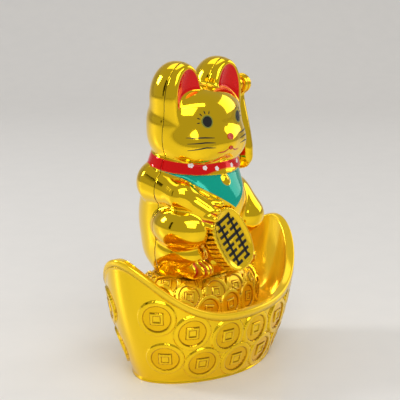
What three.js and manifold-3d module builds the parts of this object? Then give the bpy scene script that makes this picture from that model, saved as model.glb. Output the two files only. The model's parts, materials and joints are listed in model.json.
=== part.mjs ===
// A waving cat figurine seated on a mound of coins in an ingot-shaped bowl.
// The plated plastic cat is a front and a rear shell around a battery-driven pendulum,
// and the raised arm outside the left shoulder swings with that pendulum.
// Millimetres, +Z up. The cat faces -Y, its left side is +X, and z = 0 is the table.
import * as THREE from 'three';
import { mergeVertices } from 'three/addons/utils/BufferGeometryUtils.js';
import Module from 'manifold-3d';

const wasm = await Module();
wasm.setup();

// ---------- driving dimensions ----------
const gap = 0.3; // clearance between separate pieces
const wall = 2.0; // moulded wall of the shells

const ingot = {
  baseLength: 84, baseWidth: 56, basePower: 1.8,
  rimLength: 114, rimWidth: 70, rimPower: 1.95,
  middleHeight: 33.5, tipHeight: 61.5, saddlePower: 3.1,
  bulge: 0.8, // how far the hull swells between foot and rim
  rimBand: 3.2, // height of the rim that caps the hull
  bowlClearance: 0.4, // between the hull's inside and the bowl that hangs in it
  lipWidth: 2.4, lipThickness: 2, // ledge that the base plate is screwed up against
};
const rimThickness = 2 * wall + ingot.bowlClearance; // the rim spans both walls and the clearance
const deck = { height: 24, cornerWidth: 4.5 }; // floor of the bowl, and how far its corner reaches in
const mound = { halfLength: 38, halfWidth: 21.5, y: 3.5, rise: 24, power: 3.2, seatHeight: 44.7 };
const seatHole = { length: 22, width: 24, power: 4 }; // opening under the cat for the drive unit

const figure = { seat: mound.seatHeight + gap, neck: 106, seamY: 8, seamSlope: -0.09, seamZ: 50 };
const bodySections = [ // height, half width, half depth, centre y
  [figure.seat, 21.5, 17.8, 5.2],
  [52, 24.2, 21.4, 7],
  [62, 25.0, 23.3, 8.0],
  [70, 25.2, 24.0, 8.4],
  [78, 25.0, 23.4, 8.2],
  [86, 24.6, 21.2, 7.2],
  [94, 23.8, 18.6, 6],
  [100, 22.2, 17.0, 5.5],
  [figure.neck, 20.0, 15.0, 5.5],
];
const head = { centre: [0, 5.4, 115], radii: [25.3, 19.6, 18.5], power: 2.6 };
const cheek = { centre: [7.6, -4, 106.4], radii: [12.9, 10.9, 9.8] };
const muzzle = { centre: [0, -11.2, 108.2], radii: [8, 6.2, 6] };
const chest = { centre: [0, -5, 79], radii: [16.5, 14.4, 12] };
const ear = { x: 14, y: 4.5, z: 128.8, radii: [11.2, 12.4, 16.6], frontY: -8.7 };
const earLip = { y: 0.6, z: 128.8, radii: [9.7, 12.4, 16.2] };
const collar = { z: 99.2, y: 5.3, halfWidth: 22.6, halfDepth: 17.4, tilt: 8, radius: 2.5 };
const bell = { centre: [0, -14.2, 89.6], radii: [2.6, 2.6, 4] };
const thigh = { centre: [19, -4, 70], radii: [11.8, 15.6, 10.8] };
const shin = { centre: [16.8, -1, 57.5], radii: [9.6, 13.6, 8.5] };
const hip = { centre: [17, 0.5, 80.5], radii: [9.6, 13, 9.5] };
const foot = { centre: [15.6, -6.7, 50.6], radii: [6.9, 12.9, 5.8] };
const shoulder = { centre: [-18, 11.2, 90], radius: 11.2 };
const elbow = { centre: [-21.4, -5.5, 85.6], radius: 6.3 };
const paw = { centre: [-14.2, -15.6, 77.8], radius: 5.6 };
const koban = {
  centre: [-5.3, -20.5, 64.2], halfWidth: 10.5, halfHeight: 15.6, power: 2.5,
  thickness: 8, lean: 12.5, roll: 24,
};

const axle = { y: 4, z: 94, radius: 1, boreClearance: 0.08 };
const raisedArm = { middleX: 30.4, wall: 1.3, endRounding: 0.9 };
const armSections = [ // height, half thickness, half depth, centre y
  [89.2, 2.2, 4.0, 4.2],
  [92.5, 4.0, 8.0, 4.3],
  [98.5, 4.6, 9.6, 4.8],
  [106, 4.5, 8.9, 5.2],
  [113, 4.2, 7.6, 5.6],
  [119.5, 4.0, 5.9, 5.8],
  [124.5, 3.9, 5.0, 6.1],
  [128, 4.4, 5.5, 4.3],
  [131, 4.7, 5.9, 3],
  [133.6, 3.7, 4.6, 2.9],
  [135, 1.9, 2.4, 2.9],
];
const swing = { pendulumLength: 39, barWidth: 5, barThickness: 2.4, hubRadius: 3.6, hubLength: 6 };
const magnet = { radius: 5, thickness: 3 };
const weight = { radius: 4, length: 9 };
const frame = { uprightX: 9.5, uprightThickness: 2.2, uprightWidth: 10, baseThickness: 1.8,
  baseHalfLength: 15.2, baseLow: -3.5, baseHigh: 15.5, screwX: 13, screwY: 2 };
const bush = { radius: 4.2, flangeRadius: 5.4, flangeThickness: 1, length: 5, outerX: 24.6 };
const coil = { radius: 8, coreRadius: 2.5, flange: 0.8, height: 5.2, windingRadius: 7.2 };
const board = { length: 20, width: 18, thickness: 1.2, drop: 3 };
const chip = { length: 5, width: 4, height: 1.5 };
const capacitor = { radius: 2.5, height: 6 };

const basePlate = { thickness: 2.6 };
const battery = { radius: 7.25, length: 49.2, nubRadius: 2.75, nubLength: 1.3, y: 0, clearance: 0.6 };
const batteryBox = { wall: 1.4, springRoom: 6.5 };
const door = { thickness: 1.5, tabLength: 2.4, tabWidth: 3, tabThickness: 0.7, overlap: 1.2, slide: 5 };
const spring = { radius: 2.6, wire: 0.4, turns: 4, plate: 0.5 };
const wire = { radius: 0.65 };
const screw = { radius: 1, headRadius: 2.2, headHeight: 1.1, length: 9, postRadius: 3.2 };
const screwSpots = [[20, 14], [-20, 14], [20, -14], [-20, -14]];

// ---------- solids from three.js geometries ----------
function toSolid(geometry) {
  const bare = geometry.clone();
  bare.deleteAttribute('normal');
  bare.deleteAttribute('uv');
  const merged = mergeVertices(bare, 1e-4);
  return new wasm.Manifold(new wasm.Mesh({
    numProp: 3,
    vertProperties: new Float32Array(merged.attributes.position.array),
    triVerts: new Uint32Array(merged.index.array),
  }));
}

function toGeometry(solid) {
  const mesh = solid.getMesh();
  const geometry = new THREE.BufferGeometry();
  geometry.setAttribute('position', new THREE.BufferAttribute(mesh.vertProperties, 3));
  geometry.setIndex(new THREE.BufferAttribute(mesh.triVerts, 1));
  geometry.computeVertexNormals();
  return geometry;
}

const join = (...solids) => solids.reduce((whole, next) => whole.add(next));
const cut = (solid, ...tools) => tools.reduce((left, tool) => left.subtract(tool), solid);

// ---------- basic shapes ----------
function box(sizeX, sizeY, sizeZ, x, y, z) {
  return toSolid(new THREE.BoxGeometry(sizeX, sizeY, sizeZ).translate(x, y, z));
}

// A box given by its low and high corners.
function boxBetween(low, high) {
  const size = high.map((value, i) => value - low[i]);
  const middle = high.map((value, i) => (value + low[i]) / 2);
  return box(...size, ...middle);
}

function uprightCylinder(radius, low, high, x, y, sides = 20) {
  const geometry = new THREE.CylinderGeometry(radius, radius, high - low, sides).rotateX(Math.PI / 2);
  return toSolid(geometry.translate(x, y, (low + high) / 2));
}

function crossCylinder(radius, left, right, y, z, sides = 20) {
  const geometry = new THREE.CylinderGeometry(radius, radius, right - left, sides).rotateZ(Math.PI / 2);
  return toSolid(geometry.translate((left + right) / 2, y, z));
}

// A superellipsoid: power 2 is an ellipsoid, and more is fuller at its shoulders.
function blob(centre, radii, power = 2, inset = 0, around = 22, up = 14) {
  const geometry = new THREE.SphereGeometry(1, around, up).rotateX(Math.PI / 2);
  const position = geometry.attributes.position;
  for (let i = 0; i < position.count; i++) {
    const [x, y, z] = [position.getX(i), position.getY(i), position.getZ(i)];
    const reach = (Math.hypot(x, y) ** power + Math.abs(z) ** power) ** (-1 / power);
    position.setXYZ(i,
      centre[0] + x * reach * (radii[0] - inset),
      centre[1] + y * reach * (radii[1] - inset),
      centre[2] + z * reach * (radii[2] - inset));
  }
  return toSolid(geometry);
}

// A limb: a round-ended cone between two balls.
function limb(from, to, inset = 0, around = 14) {
  const start = new THREE.Vector3(...from.centre);
  const along = new THREE.Vector3(...to.centre).sub(start);
  const [r0, r1, length] = [from.radius - inset, to.radius - inset, along.length()];
  const arcSteps = 4;
  const profile = [];
  for (let i = 0; i <= arcSteps; i++) {
    const angle = -Math.PI / 2 + (Math.PI / 2) * (i / arcSteps);
    profile.push(new THREE.Vector2(r0 * Math.cos(angle), r0 * Math.sin(angle)));
  }
  for (let i = 0; i <= arcSteps; i++) {
    const angle = (Math.PI / 2) * (i / arcSteps);
    profile.push(new THREE.Vector2(r1 * Math.cos(angle), length + r1 * Math.sin(angle)));
  }
  profile[0].x = 0;
  profile[profile.length - 1].x = 0;
  const geometry = new THREE.LatheGeometry(profile, around);
  const turn = new THREE.Quaternion().setFromUnitVectors(new THREE.Vector3(0, 1, 0), along.normalize());
  return toSolid(geometry.applyQuaternion(turn).translate(start.x, start.y, start.z));
}

// A closed ring or solid of revolution whose rings follow place(angle, station).
// A solid's first and last stations lie on its axis; a ring's last station repeats its first.
function ringed(stations, around, place) {
  const profile = Array.from({ length: stations }, (_, i) => new THREE.Vector2(1, i));
  const geometry = new THREE.LatheGeometry(profile, around);
  const position = geometry.attributes.position;
  for (let i = 0; i <= around; i++) {
    const angle = ((i % around) / around) * 2 * Math.PI;
    for (let j = 0; j < stations; j++) position.setXYZ(i * stations + j, ...place(angle, j));
  }
  const solid = toSolid(geometry);
  return solid.volume() < 0 ? turnedOut(geometry) : solid;
}

// The same closed surface with its faces pointing the other way.
function turnedOut(geometry) {
  const index = geometry.index.array;
  for (let i = 0; i < index.length; i += 3) [index[i + 1], index[i + 2]] = [index[i + 2], index[i + 1]];
  return toSolid(geometry);
}

// ---------- the ingot's outline ----------
const signedPower = (value, power) => Math.sign(value) * Math.abs(value) ** power;

// A point on a superellipse, moved inwards along its own normal.
function outline(length, width, power, angle, inset = 0) {
  const [halfL, halfW] = [length / 2, width / 2];
  const x = halfL * signedPower(Math.cos(angle), 2 / power);
  const y = halfW * signedPower(Math.sin(angle), 2 / power);
  const normal = new THREE.Vector2(
    signedPower(x / halfL, power - 1) / halfL,
    signedPower(y / halfW, power - 1) / halfW,
  ).normalize();
  return [x - normal.x * inset, y - normal.y * inset];
}

const footOutline = (angle, inset) =>
  outline(ingot.baseLength, ingot.baseWidth, ingot.basePower, angle, inset);
const rimOutline = (angle, inset) =>
  outline(ingot.rimLength, ingot.rimWidth, ingot.rimPower, angle, inset);

function rimHeight(angle) {
  const [x] = rimOutline(angle, 0);
  const share = Math.abs(x / (ingot.rimLength / 2)) ** ingot.saddlePower;
  return ingot.middleHeight + (ingot.tipHeight - ingot.middleHeight) * share;
}

// A point on the hull at a share of the way from its foot to its rim, moved inwards by inset.
function hullPoint(angle, z, inset) {
  const share = THREE.MathUtils.clamp(z / rimHeight(angle), 0, 1);
  const swell = share + ingot.bulge * share * (1 - share);
  const [x0, y0] = footOutline(angle, inset);
  const [x1, y1] = rimOutline(angle, inset);
  return [x0 + (x1 - x0) * swell, y0 + (y1 - y0) * swell, z];
}

const ingotSides = 44;

function ingotHull() {
  const lipLow = basePlate.thickness + gap;
  const lipHigh = lipLow + ingot.lipThickness;
  const wallSteps = 7;
  const stations = [];
  const top = (angle) => rimHeight(angle) - ingot.rimBand - gap;
  for (let i = 0; i <= wallSteps; i++) stations.push((a) => hullPoint(a, (top(a) * i) / wallSteps, 0));
  for (let i = wallSteps; i >= 1; i--) {
    stations.push((a) => hullPoint(a, lipHigh + ((top(a) - lipHigh) * i) / wallSteps, wall));
  }
  stations.push((a) => hullPoint(a, lipHigh, wall));
  stations.push((a) => hullPoint(a, lipHigh, wall + ingot.lipWidth));
  stations.push((a) => hullPoint(a, lipLow, wall + ingot.lipWidth));
  stations.push((a) => hullPoint(a, lipLow, wall));
  stations.push((a) => hullPoint(a, 0, wall));
  stations.push(stations[0]);
  return ringed(stations.length, ingotSides, (angle, j) => stations[j](angle));
}

// The mound's outline at a height above the deck.
function moundPoint(angle, z, inset) {
  const climb = Math.abs((z - deck.height) / (mound.rise - inset)) ** mound.power;
  const share = Math.max(1 - climb, 0) ** (1 / mound.power);
  const x = (mound.halfLength - inset) * share * Math.cos(angle);
  const y = mound.y + (mound.halfWidth - inset) * share * Math.sin(angle);
  return [x, y, z];
}

// The mound filled solid to half its wall, with the deck's floor carried out on all sides.
function underDeck() {
  const steps = 8;
  const rise = mound.seatHeight - wall / 2 - deck.height;
  const fill = ringed(steps + 4, ingotSides, (angle, j) => {
    const share = THREE.MathUtils.clamp(j - 2, 0, steps - 1) / (steps - 1);
    const z = deck.height + rise * Math.sin((share * Math.PI) / 2);
    if (j === 0) return [0, mound.y, 0];
    if (j === steps + 3) return [0, mound.y, deck.height + rise];
    const [x, y] = moundPoint(angle, z, wall / 2);
    return [x, y, j === 1 ? 0 : z];
  });
  return join(fill, boxBetween([-60, -40, 0], [60, 40, deck.height - wall / 2]));
}

// The bowl: a rim that caps the hull, walls down to the deck, and the mound with its seat hole.
function ingotBowl() {
  const bowlSteps = 6;
  const moundSteps = 6;
  const { rimBand } = ingot;
  const seatHoleAt = (angle, z) => {
    const [x, y] = outline(seatHole.length, seatHole.width, seatHole.power, angle);
    return [x, axle.y + y, z];
  };
  const bowlWall = (angle, step, drop) => {
    const turn = (step / bowlSteps) * (Math.PI / 2);
    const top = rimHeight(angle) - (drop > 0 ? rimBand : 1);
    const z = top + (deck.height - drop - top) * Math.sin(turn);
    return hullPoint(angle, z, rimThickness - drop + deck.cornerWidth * (1 - Math.cos(turn)));
  };
  const stations = [
    (a) => [...rimOutline(a, 0), rimHeight(a) - rimBand],
    (a) => [...rimOutline(a, 0), rimHeight(a) - 1],
    (a) => [...rimOutline(a, 1), rimHeight(a)],
    (a) => [...rimOutline(a, rimThickness - 1), rimHeight(a)],
  ];
  for (let i = 0; i <= bowlSteps; i++) stations.push((a) => bowlWall(a, i, 0));
  const seat = mound.seatHeight - deck.height;
  for (let i = 0; i <= moundSteps; i++) {
    const z = deck.height + seat * Math.sin((i / moundSteps) * (Math.PI / 2));
    stations.push((a) => moundPoint(a, z, 0));
  }
  stations.push((a) => seatHoleAt(a, mound.seatHeight));
  stations.push((a) => seatHoleAt(a, mound.seatHeight - wall));
  for (let i = moundSteps; i >= 0; i--) {
    const z = deck.height + (seat - wall) * Math.sin((i / moundSteps) * (Math.PI / 2));
    stations.push((a) => moundPoint(a, z, wall));
  }
  stations.push((a) => {
    const [x, y] = moundPoint(a, deck.height, wall);
    return [x, y, deck.height - wall];
  });
  for (let i = bowlSteps; i >= 0; i--) stations.push((a) => bowlWall(a, i, wall));
  stations.push(stations[0]);
  const bowl = ringed(stations.length, ingotSides, (angle, j) => stations[j](angle));
  const postLow = basePlate.thickness + gap;
  const posts = join(...screwSpots.map(([x, y]) => uprightCylinder(screw.postRadius, postLow, 44, x, y, 16)));
  const bores = screwSpots.map(([x, y]) =>
    uprightCylinder(screw.radius + gap, postLow - 1, basePlate.thickness + screw.length, x, y, 12));
  return cut(join(bowl, posts.intersect(underDeck())), ...bores);
}

// ---------- the cat ----------
// A solid stacked from rows of height, half width, half depth and centre y, smoothed between them.
// The ends close on the axis, and rounding carries those two points past the first and last rows.
function stacked(sections, inset, levels, rounding, bottom, around) {
  const curveOf = (pick) => new THREE.CatmullRomCurve3(
    sections.map((row) => new THREE.Vector3(...pick(row))), false, 'centripetal');
  const sizes = curveOf(([z, a, b]) => [a, b, z]);
  const middles = curveOf(([z, , , y]) => [0, y, z]);
  const last = levels + 2;
  return ringed(last + 1, around, (angle, j) => {
    const t = THREE.MathUtils.clamp((j - 1) / levels, 0, 1);
    const size = sizes.getPoint(t);
    const y = middles.getPoint(t).y;
    const z = t === 0 ? size.z - bottom : size.z;
    if (j === 0) return [0, y, z - rounding];
    if (j === last) return [0, y, z + rounding];
    const [a, b] = [Math.max(size.x - inset, 0.4), Math.max(size.y - inset, 0.4)];
    return [a * Math.cos(angle), y + b * Math.sin(angle), z];
  });
}

const torso = (inset = 0, bottom = 0) => stacked(bodySections, inset, 10, 0, bottom, 28);

// An upright ear, cut flat in front, with a second lobe that carries its edge forward.
function earSolid(side, inset = 0) {
  const [around, levels] = inset > 0 ? [12, 8] : [18, 12];
  const lobes = [ear, earLip].map(({ y, z, radii }) =>
    blob([side * ear.x, y, z], radii, 2, inset, around, levels));
  const front = boxBetween([-60, -60, 60], [60, ear.y + ear.frontY + inset, 170]);
  return cut(join(...lobes), front);
}

// The collar: a rounded band round the neck, lower at the throat.
function collarSolid() {
  const tilt = THREE.MathUtils.degToRad(collar.tilt);
  const tubeSides = 8;
  return ringed(tubeSides + 1, 28, (angle, j) => {
    const turn = ((j % tubeSides) / tubeSides) * 2 * Math.PI;
    const out = Math.cos(turn) * collar.radius * 0.7;
    const x = (collar.halfWidth + out) * Math.cos(angle);
    const y = (collar.halfDepth + out) * Math.sin(angle);
    return [x, collar.y + y, collar.z + y * Math.tan(tilt) + Math.sin(turn) * collar.radius];
  });
}

const mirrored = ({ centre: [x, y, z], radii }, side) => [[side * x, y, z], radii];

function wholeCat() {
  const pair = (piece) => [-1, 1].map((side) => blob(...mirrored(piece, side), 2, 0, 18, 10));
  return join(
    torso(), collarSolid(),
    blob(head.centre, head.radii, head.power, 0, 26, 16),
    blob(muzzle.centre, muzzle.radii, 2, 0, 16, 10),
    blob(chest.centre, chest.radii, 2, 0, 18, 10),
    blob(hip.centre, hip.radii, 2, 0, 18, 10),
    earSolid(-1), earSolid(1),
    ...pair(cheek), ...pair(thigh), ...pair(shin), ...pair(foot),
    limb(shoulder, elbow), limb(elbow, paw),
    blob(bell.centre, bell.radii, 2, 0, 12, 8),
  );
}

// The hollow follows the outside one wall in, and a ledge at the back covers what overhangs the mound.
function catCavity() {
  const thighs = [-1, 1].map((side) => blob(...mirrored(thigh, side), 2, wall, 12, 8));
  const ledge = boxBetween([-60, mound.y + 15, 0], [60, 60, figure.seat + wall]);
  const hollow = join(
    torso(wall, 5), blob(head.centre, head.radii, head.power, wall, 16, 10),
    earSolid(-1, wall), earSolid(1, wall), ...thighs, limb(shoulder, elbow, wall));
  return cut(hollow, ledge);
}

// Half of space in front of the parting plane (side -1) or behind it (side 1).
function halfSpace(side) {
  const size = 200;
  const turn = THREE.MathUtils.radToDeg(Math.atan(-figure.seamSlope));
  return box(size, size, size, 0, (side * size) / 2, 0)
    .rotate([turn, 0, 0])
    .translate([0, figure.seamY + (side * gap) / 2, figure.seamZ]);
}

// The koban plaque stands on edge, its face to the front, leaning and rolled to the raised paw.
function placeKoban(solid) {
  return solid.rotate([-koban.lean, 0, 0]).rotate([0, -koban.roll, 0]).translate(koban.centre);
}

function kobanSolid(grow = 0) {
  const steps = 44;
  const points = Array.from({ length: steps }, (_, i) => {
    const [c, d] = [Math.cos((i / steps) * 2 * Math.PI), Math.sin((i / steps) * 2 * Math.PI)];
    const reach = (Math.abs(c) ** koban.power + Math.abs(d) ** koban.power) ** (-1 / koban.power);
    return new THREE.Vector2((koban.halfWidth + grow) * c * reach, (koban.halfHeight + grow) * d * reach);
  });
  const depth = koban.thickness + 2 * grow;
  const geometry = new THREE.ExtrudeGeometry(new THREE.Shape(points), { depth, bevelEnabled: false });
  return placeKoban(toSolid(geometry.translate(0, 0, -depth / 2).rotateX(Math.PI / 2)));
}

function catHalf(side) {
  const seatPlane = boxBetween([-60, -60, 0], [60, 60, figure.seat]);
  const bushHole = crossCylinder(bush.radius + gap, 0, 40, axle.y, axle.z);
  const flangeX = bush.outerX - bush.length + gap;
  const flangeRoom = crossCylinder(bush.flangeRadius + gap, 0, flangeX, axle.y, axle.z);
  const armSide = boxBetween([armInnerX() - 2 * gap, -60, 82], [60, 60, 170]);
  return cut(cat, cavity, seatPlane, kobanSolid(gap), bushHole, flangeRoom, armSide)
    .intersect(halfSpace(side));
}

// ---------- the raised arm ----------
const armInnerX = () => raisedArm.middleX - Math.max(...armSections.map(([, half]) => half));

function armWhole(inset = 0) {
  const solid = stacked(armSections, inset, 12, raisedArm.endRounding - inset, 0, 20);
  return solid.translate([raisedArm.middleX, 0, 0]);
}

// Each half is a thin shell that meets the other at the arm's middle plane, with a hub on the axle.
function armHalf(side) {
  const { middleX } = raisedArm;
  const hub = crossCylinder(swing.hubRadius, middleX - 8, middleX + 8, axle.y, axle.z).intersect(armWhole());
  const bore = crossCylinder(axle.radius + gap, middleX - 20, middleX + 2.4, axle.y, axle.z, 14);
  const solid = cut(join(cut(armWhole(), armWhole(raisedArm.wall)), hub), bore);
  const edge = middleX + (side * gap) / 2;
  const keep = side > 0
    ? boxBetween([edge, -100, 0], [edge + 100, 100, 300])
    : boxBetween([edge - 100, -100, 0], [edge, 100, 300]);
  return solid.intersect(keep);
}

// ---------- the swing that drives the arm ----------
const magnetTop = () => axle.z - swing.pendulumLength + magnet.thickness / 2;

function armAxle() {
  return crossCylinder(axle.radius, -frame.uprightX - 3.5, raisedArm.middleX + 2, axle.y, axle.z, 14);
}

function pendulumBar() {
  const low = magnetTop() + gap - 2;
  const bar = box(swing.barThickness, swing.barWidth, axle.z - low, 0, axle.y, (axle.z + low) / 2);
  const hub = crossCylinder(swing.hubRadius, -swing.hubLength / 2, swing.hubLength / 2, axle.y, axle.z);
  const cup = uprightCylinder(magnet.radius + 1, low, magnetTop() + 1.6, 0, axle.y, 24);
  const magnetRoom = uprightCylinder(magnet.radius + gap, low - 10, magnetTop() + gap, 0, axle.y, 24);
  const bore = crossCylinder(axle.radius + gap, -10, 10, axle.y, axle.z, 14);
  return cut(join(bar, hub, cup), magnetRoom, bore);
}

function pendulumMagnet() {
  return uprightCylinder(magnet.radius, magnetTop() - magnet.thickness, magnetTop(), 0, axle.y, 24);
}

// A brass slug clamped on the pendulum bar, which balances the arm above the axle.
function balanceWeight() {
  const z = magnetTop() + 10;
  const slug = crossCylinder(weight.radius, -weight.length / 2, weight.length / 2, axle.y, z);
  const slot = box(swing.barThickness + 2 * gap, swing.barWidth + 2 * gap, 40, 0, axle.y, z);
  const cheek = box(weight.length, 2, 2, 0, axle.y + swing.barWidth / 2 + gap + 0.9, z);
  return join(cut(slug, slot), cheek.intersect(crossCylinder(weight.radius + 0.4, -9, 9, axle.y, z)));
}

function axleClip() {
  const x = -frame.uprightX - frame.uprightThickness / 2 - gap - 0.5;
  const ring = crossCylinder(2.6, x - 0.5, x + 0.5, axle.y, axle.z);
  return cut(ring, crossCylinder(axle.radius + gap, x - 2, x + 2, axle.y, axle.z, 14));
}

// ---------- the drive unit ----------
const frameBaseTop = () => mound.seatHeight + gap + frame.baseThickness;
const frameBaseLow = () => mound.seatHeight + gap;

function driveFrame() {
  const { uprightX, uprightThickness, uprightWidth, baseHalfLength, baseLow, baseHigh } = frame;
  const base = boxBetween(
    [-baseHalfLength, baseLow, frameBaseLow()],
    [baseHalfLength, baseHigh, frameBaseTop()]);
  const uprights = [-1, 1].map((side) => join(
    box(uprightThickness, uprightWidth, axle.z - frameBaseLow(),
      side * uprightX, axle.y, (axle.z + frameBaseLow()) / 2),
    crossCylinder(uprightWidth / 2, side * uprightX - uprightThickness / 2,
      side * uprightX + uprightThickness / 2, axle.y, axle.z)));
  const bore = crossCylinder(axle.radius + axle.boreClearance, -30, 30, axle.y, axle.z, 14);
  const coreHole = uprightCylinder(coil.coreRadius + gap, 0, 80, 0, axle.y, 16);
  return cut(join(base, ...uprights), bore, coreHole, ...frameScrewHoles());
}

const frameScrewSpots = () => [-1, 1].map((side) => [side * frame.screwX, frame.screwY]);

function frameScrewHoles() {
  return frameScrewSpots().map(([x, y]) =>
    uprightCylinder(screw.radius + gap, frameBaseLow() - 1, frameBaseTop() + 1, x, y, 12));
}

function coilBobbin() {
  const low = frameBaseTop() + gap;
  const high = low + coil.height;
  const peg = frameBaseLow() - gap - board.drop + gap;
  return join(
    uprightCylinder(coil.radius, low, low + coil.flange, 0, axle.y, 24),
    uprightCylinder(coil.radius, high - coil.flange, high, 0, axle.y, 24),
    uprightCylinder(coil.coreRadius, peg, high, 0, axle.y, 16));
}

function coilWinding() {
  const low = frameBaseTop() + gap + coil.flange + gap / 2;
  const high = low + coil.height - 2 * coil.flange - gap;
  return cut(
    uprightCylinder(coil.windingRadius, low, high, 0, axle.y, 24),
    uprightCylinder(coil.coreRadius + gap, low - 1, high + 1, 0, axle.y, 16));
}

const boardTop = () => frameBaseLow() - gap - board.drop;
const boardLow = () => boardTop() - board.thickness;

function driveBoard() {
  return boxBetween(
    [-board.width / 2, axle.y - board.length / 2, boardLow()],
    [board.width / 2, axle.y + board.length / 2, boardTop()]);
}

function driveChip() {
  const low = boardLow() - gap - chip.height;
  return box(chip.width, chip.length, chip.height, -4, axle.y - 4, low + chip.height / 2);
}

function driveCapacitor() {
  const top = boardLow() - gap;
  return uprightCylinder(capacitor.radius, top - capacitor.height, top, 5, axle.y - 5, 18);
}

// One of the two stand-off sleeves that hold the board under the frame's base.
function boardStandoff(side) {
  return uprightCylinder(1.6, boardTop() + gap, frameBaseLow() - gap, side * 7, axle.y + 7, 12);
}

function shoulderBush() {
  const flangeX = bush.outerX - bush.length;
  const barrel = crossCylinder(bush.radius, flangeX, bush.outerX, axle.y, axle.z);
  const flange = crossCylinder(bush.flangeRadius, flangeX - bush.flangeThickness, flangeX, axle.y, axle.z);
  const bore = crossCylinder(axle.radius + axle.boreClearance, 0, 60, axle.y, axle.z, 14);
  return cut(join(barrel, flange), bore);
}

// ---------- the base and battery ----------
const batteryZ = () => basePlate.thickness + battery.clearance + battery.radius;
const batteryLeft = () => -battery.length / 2 + 1; // negative end, against the spring
const boxInner = () => ({
  low: [batteryLeft() - batteryBox.springRoom, battery.y - battery.radius - battery.clearance],
  high: [
    batteryLeft() + battery.length + battery.nubLength + 2,
    battery.y + battery.radius + battery.clearance,
  ],
});

function doorOpening(grow) {
  const { low, high } = boxInner();
  return boxBetween(
    [low[0] + 3 - grow, low[1] + 0.5 - grow, -1],
    [high[0] - 2 + grow, high[1] - 0.5 + grow, basePlate.thickness + 1]);
}

function plateSolid(inset, low, high) {
  return ringed(4, ingotSides, (angle, j) => {
    const z = j < 2 ? low : high;
    return j === 0 || j === 3 ? [0, 0, z] : [...footOutline(angle, inset), z];
  });
}

// The plate closes the hull's foot and carries the open-bottomed battery box.
function basePlateSolid() {
  const plate = plateSolid(wall + gap, 0, basePlate.thickness);
  const { low, high } = boxInner();
  const edge = batteryBox.wall;
  const top = batteryZ() + 2;
  const trough = cut(
    boxBetween([low[0] - edge, low[1] - edge, basePlate.thickness - 1], [high[0] + edge, high[1] + edge, top]),
    boxBetween([...low, basePlate.thickness - 2], [...high, top + 1]));
  const holes = screwSpots.flatMap(([x, y]) => [
    uprightCylinder(screw.radius + gap, -1, 10, x, y, 12),
    uprightCylinder(screw.headRadius + gap, -1, screw.headHeight + gap, x, y, 18)]);
  const rebateTop = boxBetween([-60, -60, -1], [60, 60, door.thickness + gap]);
  const rebate = doorOpening(door.overlap).intersect(rebateTop);
  const slideRoom = rebate.translate([door.slide + gap, 0, 0]);
  return cut(join(plate, trough), doorOpening(0), rebate, slideRoom, ...holes, ...doorTabs(gap));
}

// Tabs at the door's inner end, which slide out of slots in the plate.
function doorTabs(grow) {
  const x = boxInner().low[0] + 3 - door.overlap + gap;
  const z = door.thickness;
  return [-1, 1].map((side) => boxBetween(
    [x - door.tabLength - grow, battery.y + side * 4 - door.tabWidth / 2 - grow, z - door.tabThickness - grow],
    [x + 2, battery.y + side * 4 + door.tabWidth / 2 + grow, z + grow]));
}

function batteryDoor() {
  const face = doorOpening(door.overlap - gap).intersect(
    boxBetween([-60, -60, 0], [60, 60, door.thickness]));
  return join(face, ...doorTabs(0));
}

function batteryCell() {
  const left = batteryLeft();
  const can = crossCylinder(battery.radius, left, left + battery.length, battery.y, batteryZ(), 28);
  const nubEnd = left + battery.length + battery.nubLength;
  return join(can, crossCylinder(battery.nubRadius, left + battery.length - 1, nubEnd, battery.y, batteryZ()));
}

// The negative contact: a plate with a coil spring formed from round wire.
function batterySpring() {
  const { low } = boxInner();
  const plateX = low[0] + gap;
  const start = plateX + spring.plate - 0.1;
  const end = batteryLeft() - gap - spring.wire;
  const steps = spring.turns * 10;
  const points = Array.from({ length: steps + 1 }, (_, i) => {
    const angle = (i / 10) * 2 * Math.PI;
    const radius = spring.radius * (1 - 0.3 * (i / steps));
    return new THREE.Vector3(
      start + ((end - start) * i) / steps,
      battery.y + radius * Math.cos(angle), batteryZ() + radius * Math.sin(angle));
  });
  const section = new THREE.Shape();
  section.absarc(0, 0, spring.wire, 0, 2 * Math.PI);
  const geometry = new THREE.ExtrudeGeometry(section, {
    steps, curveSegments: 3, bevelEnabled: false, extrudePath: new THREE.CatmullRomCurve3(points),
  });
  const plate = box(spring.plate, 11, 9, plateX + spring.plate / 2, battery.y, batteryZ() - 1.5);
  return join(toSolid(geometry), plate);
}

function batteryContact() {
  const { high } = boxInner();
  const x = high[0] - gap - spring.plate;
  return box(spring.plate, 11, 9, x + spring.plate / 2, battery.y, batteryZ() - 1.5);
}

// A lead from a battery contact up to the drive board.
function lead(points) {
  const section = new THREE.Shape();
  section.absarc(0, 0, wire.radius, 0, 2 * Math.PI);
  const path = new THREE.CatmullRomCurve3(points.map((p) => new THREE.Vector3(...p)), false, 'centripetal');
  return toSolid(new THREE.ExtrudeGeometry(section, {
    steps: 26, curveSegments: 2, bevelEnabled: false, extrudePath: path,
  }));
}

function leadFrom(endX, side, boardX) {
  const top = batteryZ() + 3 + wire.radius + 2 * gap;
  const boardY = axle.y + board.length / 2 - 3;
  return lead([
    [endX, battery.y, top],
    [endX, battery.y + 2, top + 2.5],
    [endX * 0.8, battery.y + 6, top + 6.5],
    [side * 14, battery.y + 9, top + 12.5],
    [boardX + side * 2, boardY, boardLow() - 9],
    [boardX, boardY, boardLow() - gap],
  ]);
}

function baseScrew([x, y]) {
  const tip = basePlate.thickness + screw.length - 1;
  return join(
    uprightCylinder(screw.headRadius, 0, screw.headHeight, x, y, 18),
    uprightCylinder(screw.radius, screw.headHeight - 0.2, tip, x, y, 12));
}

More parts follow.
